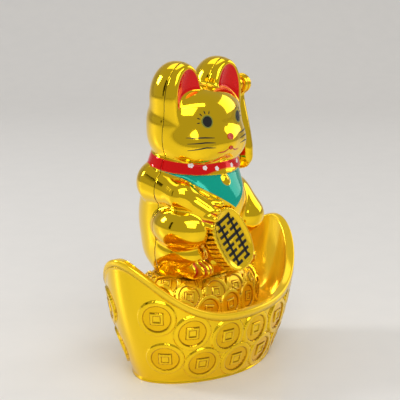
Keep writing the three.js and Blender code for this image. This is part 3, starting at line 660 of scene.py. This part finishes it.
def surfaceNormals(grid):
    n = np.cross(np.gradient(grid, axis=1), np.gradient(grid, axis=0))
    n /= np.linalg.norm(n, axis=-1, keepdims=True) + 1e-9
    outward = (n[..., :2] * grid[..., :2]).sum(-1)
    return n * np.where(outward < 0, -1, 1)[..., None]


def makeHull():
    around, rows = ((680, 116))
    angle = evenAngles(around)
    top = rimHeight(angle) - ingot["band"] - ingot["gap"]
    outer = np.stack([hullAt(angle, top * t) for t in np.linspace(0, 1, rows)])
    normals = surfaceNormals(outer)
    centres = []
    for share, turns in coinRows:
        for facing in (-90, 90):
            for turn in turns:
                at = math.radians(facing + turn)
                a = np.array([at])
                spot = hullAt(a, rimHeight(a) * share)[0]
                near = np.linalg.norm(outer - spot, axis=-1)
                normal = normals.reshape(-1, 3)[near.argmin()]
                centres.append((spot, normal, 0.0, 0.0))
    height, field, lines = coinRelief(outer, normals, centres, [coin["radius"]] * len(centres))
    climb = np.linspace(0, 1, rows)[:, None]
    edgeFade = smoothStep(climb, 0, 0.02) * smoothStep(-climb, -1, -0.98)
    outer = outer + normals * ((height - coin["rimRise"]) * edgeFade)[..., None]
    low, high, reach = ingot["ledge"]
    inner = [hullAt(angle, high + (top - high) * t, ingot["wall"]) for t in np.linspace(1, 0, 14)]
    inner += [hullAt(angle, high, reach), hullAt(angle, low, reach)]
    inner += [hullAt(angle, low, ingot["wall"]), hullAt(angle, 0 * angle, ingot["wall"])]
    hull = ringMesh("ingot_boat", np.concatenate([outer, np.stack(inner)]))
    plain = np.full((len(inner), around), unpainted)
    paintEdge(hull, "lowGround", np.concatenate([np.where(field, -0.3, 0.3), plain]).reshape(-1))
    # painted shade: a dark line along each coin's relief edges
    paintEdge(hull, "paintedShadeLine", np.concatenate([lines, plain]).reshape(-1))
    hull.data.materials.append(coinGold)
    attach(hull, "cat_and_ingot")
    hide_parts("ingot_hull")


makeHull()
print("hull struck")


# bowl and mound of coins

mound = {
    "long": 38.0, "wide": 21.5, "y": 3.5, "rise": 24.0, "power": 3.2, "seat": 44.6, "wall": 2.0,
    "hole": (22, 24, 4), "holeY": 4, "topRows": 30, "coin": 7.0, "seed": 11,
    "rows": ((0.72, 12, 0.6), (0.50, 13, 0.12), (0.24, 14, 0.55)),  # share of the slope, coins, offset
    "catFoot": 46.0, "flatFrom": 41.5,
}


def moundAt(angle, z, inset=0.0):
    climb = np.abs((z - ingot["deck"]) / (mound["rise"] - inset)) ** mound["power"]
    share = np.maximum(1 - climb, 0) ** (1 / mound["power"])
    x = (mound["long"] - inset) * share * np.cos(angle)
    y = mound["y"] + (mound["wide"] - inset) * share * np.sin(angle)
    return np.stack([x, y, z + 0 * angle], -1)


def slopeHeights(seat, count):  # heights spaced evenly along the mound's slope
    z = ingot["deck"] + seat * np.sin(np.linspace(0, math.pi / 2, 2000))
    line = moundAt(np.full(2000, 1.2), z)
    run = np.concatenate([[0], np.cumsum(np.linalg.norm(np.diff(line, axis=0), axis=1))])
    return np.interp(np.linspace(0, run[-1], count), run, z)


def bowlWall(angle, turn, drop):
    top = rimHeight(angle) - (ingot["band"] if drop else 1.0)
    z = top + (ingot["deck"] - drop - top) * math.sin(turn)
    return hullAt(angle, z, ingot["lip"] - drop + ingot["corner"] * (1 - math.cos(turn)))


def makeBowl():
    around, moundRows = ((600, 96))
    angle = evenAngles(around)
    high = rimHeight(angle)
    ring = lambda inset, z: np.stack([*outline(ingot["rim"], angle, inset), z], -1)
    rows = [ring(0, high - ingot["band"])]
    for turn in np.linspace(0, math.pi / 2, 6):  # rounded outer edge
        rows.append(ring(1 - math.cos(turn), high - 1 + math.sin(turn)))
    for turn in np.linspace(math.pi / 2, 0, 6):  # rounded inner edge
        rows.append(ring(ingot["lip"] - 1 + math.cos(turn), high - 1 + math.sin(turn)))
    rows += [bowlWall(angle, t, 0) for t in np.linspace(0.03, math.pi / 2, 24)]
    seat = mound["seat"] - ingot["deck"]
    first = len(rows)
    rows += [moundAt(angle, z) for z in slopeHeights(seat, moundRows)]
    brow = rows[-1]
    holeX, holeY = outline(mound["hole"], angle)
    hole = lambda z: np.stack([holeX, mound["holeY"] + holeY, z + 0 * angle], -1)
    for share in np.linspace(0, 1, mound["topRows"] + 1)[1:]:
        rows.append(brow + (hole(mound["seat"]) - brow) * share)
    moundRows += mound["topRows"]
    grid = np.stack(rows)
    hill = grid[first:]
    normals = surfaceNormals(hill - np.array([0, mound["y"], 0]))
    dice = np.random.default_rng(mound["seed"])
    centres, sizes = [], []
    for row, count, offset in mound["rows"]:
        for i in range(count):
            j = int(row * (moundRows - 1))
            k = int(((i + offset) / count * around + dice.integers(-4, 4)) % around)
            centres.append((hill[j, k], normals[j, k], dice.uniform(-0.25, 0.25), 0.1 + 0.25 * dice.random()))
            sizes.append(mound["coin"] * dice.uniform(0.97, 1.05))
    height, field, lines = coinRelief(hill, normals, centres, sizes)
    clear = catField([hill[..., 0], hill[..., 1], np.full(hill.shape[:2], mound["catFoot"])])
    rowNumber = np.arange(moundRows)[:, None]
    fade = np.where(hill[..., 2] > mound["flatFrom"], smoothStep(clear, 0.7, 1.6), 1)  # smooth under the cat
    fade = fade * smoothStep(rowNumber, 0, 3) * smoothStep(moundRows - rowNumber, 1.5, 5)
    grid[first:] = hill + normals * (height * fade)[..., None]
    wall = mound["wall"]
    under = [hole(mound["seat"] - 0.05), hole(mound["seat"] - wall + 0.1), hole(mound["seat"] - wall)]
    for t in np.linspace(math.pi / 2, 0, 8):
        under.append(moundAt(angle, ingot["deck"] + (seat - wall) * math.sin(t), wall))
    low = moundAt(angle, ingot["deck"] + 0 * angle, wall)
    low[:, 2] = ingot["deck"] - wall
    under.append(low)
    under += [bowlWall(angle, t, wall) for t in np.linspace(math.pi / 2, 0, 10)]
    bowl = ringMesh("ingot_bowl_and_coins", np.concatenate([grid, np.stack(under)]))
    # painted shade: a dark line along each mound coin's relief edges
    for name, values in (("lowGround", np.where(field, -0.3, 0.3)), ("paintedShadeLine", lines)):
        layer = np.full((len(grid) + len(under), around), unpainted)
        layer[first:len(grid)] = values
        paintEdge(bowl, name, layer.reshape(-1))
    bowl.data.materials.append(moundGold)
    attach(bowl, "cat_and_ingot")
    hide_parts("ingot_bowl")


makeBowl()
print("bowl and mound struck")


# koban plaque

def kobanPoint(u, v, w):
    offsets = [np.multiply.outer(share, axis) for share, axis in zip((u, v, w), kobanAxes())]
    return np.array(koban["centre"]) + offsets[0] + offsets[1] + offsets[2]


def makeKoban():
    around = 570
    turn = np.linspace(0, 2 * math.pi, around, endpoint=False)
    power = koban["power"]
    reach = (np.abs(np.cos(turn)) ** power + np.abs(np.sin(turn)) ** power) ** (-1 / power)
    half = koban["thick"] / 2
    panel = half - koban["sunk"]
    middle = 99  # an inset past the centre, so the row closes there
    profile = (  # inset from the edge, depth, share of the rib
        (middle, -half, 0), (6, -half, 0), (0.6, -half, 0), (0.15, -half + 0.4, 0.4), (0, -half + 1, 1),
        (0, 0, 1), (0, half - 1.3, 1), (0.1, half - 0.7, 0.3), (0.5, half - 0.05, 0),
        (0.9, half, 0), (1.5, half, 0), (1.8, panel, 0), (4, panel, 0), (middle, panel, 0))
    rows, valleys = [], []
    for inset, w, ribbed in profile:
        a, b = max(koban["wide"] - inset, 0.02), max(koban["tall"] - inset, 0.03)
        wave = (0.5 - 0.5 * np.cos(turn * koban["ribs"])) ** 2
        rib = -koban["ribDepth"] * ribbed * wave
        # painted shade: a dark line down each rib valley
        valleys.append(0.55 - wave * min(ribbed, 1) * (ribbed > 0.35))
        u, v = (a + rib) * np.cos(turn) * reach, (b + rib) * np.sin(turn) * reach
        rows.append(kobanPoint(u, v, np.full(around, w)))
    plaque = ringMesh("koban_tablet", np.stack(rows), closed=False)
    tidyFaces(plaque, fill=True, split=True)
    paintEdge(plaque, "paintedShadeLine", np.concatenate(valleys))
    paintEdge(plaque, "lowGround", np.full(len(plaque.data.vertices), unpainted))
    plaque.data.materials.append(tabletGold)
    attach(plaque, "cat_and_ingot")
    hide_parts("koban_plaque")


makeKoban()
print("tablet pressed")


# printed marks

def sideFaces(start, n):  # joins a lower loop of n points to the upper loop that follows it
    return [(start + i, start + (i + 1) % n, start + n + (i + 1) % n, start + n + i) for i in range(n)]


def slabs(name, outlines, finish, body="cat_and_ingot"):
    points, faces = [], []
    for lower, upper in outlines:  # matching closed loops
        n, start = len(lower), len(points)
        points += list(lower) + list(upper)
        faces.append(tuple(start + i for i in range(n))[::-1])
        faces.append(tuple(start + n + i for i in range(n)))
        faces += sideFaces(start, n)
    made = asObject(name, points, faces, smooth=False)
    tidyFaces(made, split=True)
    made.data.materials.append(finish)
    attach(made, body)
    return made


fret = {"bar": 1.35, "rows": 8, "reach": 12.6, "half": 6.7, "rise": 0.25, "post": 3.5}


def fretOrnament():  # a plain interlaced bar fret, with no writing in it
    low = koban["thick"] / 2 - koban["sunk"]
    loops = []

    def bar(u0, v0, u1, v1, width):
        along = np.array([u1 - u0, v1 - v0])
        along /= np.linalg.norm(along)
        off = np.array([-along[1], along[0]]) * width / 2
        start, end = np.array([u0, v0]), np.array([u1, v1])
        u, v = np.array([start + off, end + off, end - off, start - off]).T
        loops.append([kobanPoint(u, v, np.full(4, depth)) for depth in (low - 0.05, low + fret["rise"])])

    for i in range(fret["rows"]):
        v = -fret["reach"] + 1.4 + i * (2 * fret["reach"] - 2.8) / (fret["rows"] - 1)
        half = fret["half"] * math.sqrt(max(1 - (v / koban["tall"]) ** 2, 0.1))
        if i % 3 == 1:
            bar(-half, v, half, v, fret["bar"])
        else:
            bar(-half, v, -0.8, v, fret["bar"])
            bar(0.8, v, half, v, fret["bar"])
    for post in (-fret["post"], fret["post"]):
        bar(post, -fret["reach"] + 1, post, fret["reach"] - 1, fret["bar"] * 0.8)
    return loops


slabs("koban_fret_print", fretOrnament(), blackInk)


def onFace(x, z, lift):  # finds the painted surface straight back from the front
    x, z = np.atleast_1d(x).astype(float), np.atleast_1d(z).astype(float)
    y = np.full(x.shape, -30.0)
    for _ in range(60):
        y = y + 0.8 * catField([x, y, z])
    points = np.stack([x, y, z], -1)
    g = steepest(catField, points)
    g /= np.linalg.norm(g, axis=1, keepdims=True)
    return points + g * lift


def disc(x, z, wide, tall, count=28):
    t = np.linspace(0, 2 * math.pi, count, endpoint=False)
    return x + wide * np.cos(t), z + tall * np.sin(t)


def stroke(points, width, count=26):
    points = np.array(points, float)
    t = np.linspace(0, len(points) - 1, count)
    line = np.stack([np.interp(t, range(len(points)), points[:, i]) for i in (0, 1)], -1)
    along = np.gradient(line, axis=0)
    along /= np.linalg.norm(along, axis=1, keepdims=True)
    off = np.stack([-along[:, 1], along[:, 0]], -1)
    taper = width / 2 * (0.25 + 0.75 * np.sin(np.linspace(0.15, math.pi - 0.15, count)))[:, None]
    loop = np.concatenate([line + off * taper, (line - off * taper)[::-1]])
    return loop[:, 0], loop[:, 1]


def stripOnFace(loop, rise):  # a closed printed ribbon made of short quads
    return onFace(loop[0], loop[1], -0.12), onFace(loop[0], loop[1], rise)


def ribbon(name, loops, rise, finish):
    points, faces = [], []
    for loop in loops:
        low, high = stripOnFace(loop, rise)
        n, start, half = len(low), len(points), len(low) // 2
        points += list(low) + list(high)
        for i in range(half - 1):
            a, b, c, d = i, i + 1, n - 2 - i, n - 1 - i
            faces += [(start + a, start + b, start + c, start + d)[::-1],
                      (start + n + a, start + n + b, start + n + c, start + n + d)]
        faces += sideFaces(start, n)
    made = asObject(name, points, faces, smooth=False)
    tidyFaces(made)
    made.data.materials.append(finish)
    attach(made, "cat_and_ingot")


face = {"eye": (10.6, 118.9), "pupil": 2.2, "ring": 2.8, "nose": (0, 111.3), "mouth": (0, 106.2),
        "lashes": (70, 100, 130, 158, 186), "whiskers": (111.7, 109.5, 107.2)}


def makeFace():
    rings, pupils, marks = [], [], []
    for side in (-1, 1):
        x, z = side * face["eye"][0], face["eye"][1]
        rings.append(disc(x, z, face["ring"], face["ring"] * 1.05))
        pupils.append(disc(x, z, face["pupil"], face["pupil"] * 1.1))
        for turn in face["lashes"]:
            c, s = -math.cos(math.radians(turn)), math.sin(math.radians(turn))
            lash = [(x + side * 3.3 * c, z + 3.4 * s), (x + side * 4.8 * c, z + 5.0 * s)]
            marks.append(stroke(lash, 0.5, 8))
        for z, lift in zip(face["whiskers"], (0.5, 0.0, -0.7)):
            whisker = [(side * 8.6, z - 0.2), (side * 13.5, z + 0.3), (side * 20.2, z + lift)]
            marks.append(stroke(whisker, 0.6))
    ribbon("face_eye_rings", rings, 0.05, oliveInk)
    ribbon("face_pupils", pupils, 0.12, blackInk)
    ribbon("face_whiskers_and_lashes", marks, 0.07, blackInk)
    spots = [disc(*face["nose"], 1.9, 1.4), disc(*face["mouth"], 1.2, 0.9)]
    ribbon("face_nose", spots, 0.34, redInk)
    smile = [stroke([(side * 0.8, 106.0), (side * 3.6, 104.6), (side * 7.2, 104.4)], 0.6) for side in (-1, 1)]
    ribbon("face_mouth", smile, 0.07, redInk)
    petals = []
    for x in (-17, -11.2, -5.2, 5.2, 11.2, 17):
        z = 96.4 + 0.009 * x * x
        petals += [disc(x + 0.62 * math.cos(a), z + 0.62 * math.sin(a), 0.5, 0.5, 12)
                   for a in np.linspace(0, 2 * math.pi, 5, endpoint=False)]
    ribbon("collar_flowers", petals, 0.06, whiteInk)


makeFace()
print("face and collar printed")


# the pieces kept from the frame

finishes = {  # slot: name, colour, roughness, how metallic
    "white_plastic": ("mouldedWhite", (0.80, 0.78, 0.72), 0.42, 0.0),
    "yellow_plastic": ("mouldedYellow", (0.66, 0.40, 0.03), 0.28, 0.0),
    "steel": ("brightSteel", (0.60, 0.61, 0.63), 0.24, 1.0),
    "brass": ("turnedBrass", (0.70, 0.50, 0.18), 0.28, 1.0),
    "copper": ("enamelledCopper", (0.70, 0.28, 0.12), 0.30, 1.0),
    "board_green": ("solderMask", (0.02, 0.22, 0.08), 0.32, 0.0),
    "black_plastic": ("mouldedBlack", (0.015, 0.015, 0.016), 0.38, 0.0),
    "cell_wrap": ("cellSleeve", (0.03, 0.03, 0.035), 0.22, 0.0),
    "red_sleeve": ("redInsulation", (0.55, 0.02, 0.02), 0.40, 0.0),
}
made = {slot: plainFinish(*look) for slot, look in finishes.items()}
made["gold_plate"] = smoothGold
for piece in frame["record"]["subparts"]:
    node = frame["nodes"][piece["node"]]
    for place in node.material_slots:
        place.link = "OBJECT"
        place.material = made[piece["material_slot"]]
print("frame pieces finished")


# studio

def makeFloor():
    size, rise, bend = 1.6, 1.3, 0.5
    behind = 0.75
    profile = [(-size, 0.0)]
    for t in np.linspace(0, math.pi / 2, 16):
        profile.append((behind + bend * math.sin(t), bend * (1 - math.cos(t))))
    profile.append((behind + bend, rise))
    turn = math.radians(-48)
    c, s = math.cos(turn), math.sin(turn)
    points = [(x * c - y * s, x * s + y * c, z) for y, z in profile for x in (-2.4, 2.4)]
    faces = [(2 * i, 2 * i + 1, 2 * i + 3, 2 * i + 2) for i in range(len(profile) - 1)]
    floor = asObject("studio_sweep", np.array(points) / mm, faces)
    material, nodes, links, shader = newFinish("paleTableTop")
    fine = noiseNode(nodes, links, 60)
    tint = twoColours(nodes, links, fine.outputs["Fac"], (0.78, 0.765, 0.75), (0.74, 0.73, 0.72))
    links.new(tint, shader.inputs["Base Color"])
    shader.inputs["Roughness"].default_value = 0.38
    floor.data.materials.append(material)


def aimedAt(place, aim):
    return (Vector(aim) - Vector(place)).to_track_quat("-Z", "Y").to_euler()


def softbox(name, place, aim, wide, tall, power, tint=(1, 1, 1)):
    light = bpy.data.lights.new(name, "AREA")
    light.shape = "RECTANGLE"
    light.size, light.size_y = wide, tall
    light.energy = power
    light.color = tint
    lamp = bpy.data.objects.new(name, light)
    lamp.location = place
    lamp.rotation_euler = aimedAt(place, aim)
    bpy.context.scene.collection.objects.link(lamp)


def darkCard(name, place, aim, wide, tall):
    corners = [(-wide / 2, -tall / 2), (wide / 2, -tall / 2), (wide / 2, tall / 2), (-wide / 2, tall / 2)]
    card = asObject(name, [(x / mm, y / mm, 0) for x, y in corners], [(0, 1, 2, 3)], smooth=False)
    card.location = place
    card.rotation_euler = aimedAt(place, aim)
    material, nodes, links, shader = newFinish(name + "Cloth")
    weave = noiseNode(nodes, links, 300)
    links.new(between(nodes, links, weave.outputs["Fac"], 0.7, 0.9), shader.inputs["Roughness"])
    shader.inputs["Base Color"].default_value = (0.02, 0.018, 0.016, 1)
    card.data.materials.append(material)


makeFloor()
middle = (0, 0, 0.09)
softbox("windowLeft", (-0.55, 0.85, 0.55), middle, 0.22, 0.30, 4.6)
softbox("ceilingBand", (-0.25, -0.55, 0.95), middle, 1.1, 0.24, 2.6, (1, 0.99, 0.96))
softbox("ceiling", (0.1, 0.45, 1.2), middle, 0.9, 0.6, 2.0, (1, 0.98, 0.95))
softbox("nearTable", (-0.45, -0.62, 0.62), (-0.22, -0.40, 0), 0.6, 0.5, 2.9)
softbox("rightFill", (0.95, -0.35, 0.5), middle, 0.7, 0.6, 2.1, (1, 0.97, 0.92))
darkCard("cardLeft", (-0.92, 0.40, 0.40), middle, 0.12, 0.6)

world = bpy.data.worlds.new("greyRoom")
bpy.context.scene.world = world
world.use_nodes = True
sky = world.node_tree.nodes["Background"]
sky.inputs["Color"].default_value = (0.50, 0.49, 0.47, 1)
sky.inputs["Strength"].default_value = 0.84
bpy.context.scene.view_settings.view_transform = "Standard"

viewpoint = {"place": (-0.3775, -0.3382, 0.2030), "aim": (0.00232, 0.00384, 0.07748), "lens": 99.0}
cameraData = bpy.data.cameras.new("studioCamera")
cameraData.lens = viewpoint["lens"]
cameraData.sensor_width = 36
camera = bpy.data.objects.new("studioCamera", cameraData)
camera.location = viewpoint["place"]
camera.rotation_euler = aimedAt(viewpoint["place"], viewpoint["aim"])
bpy.context.scene.collection.objects.link(camera)
bpy.context.scene.camera = camera
print("studio lit")
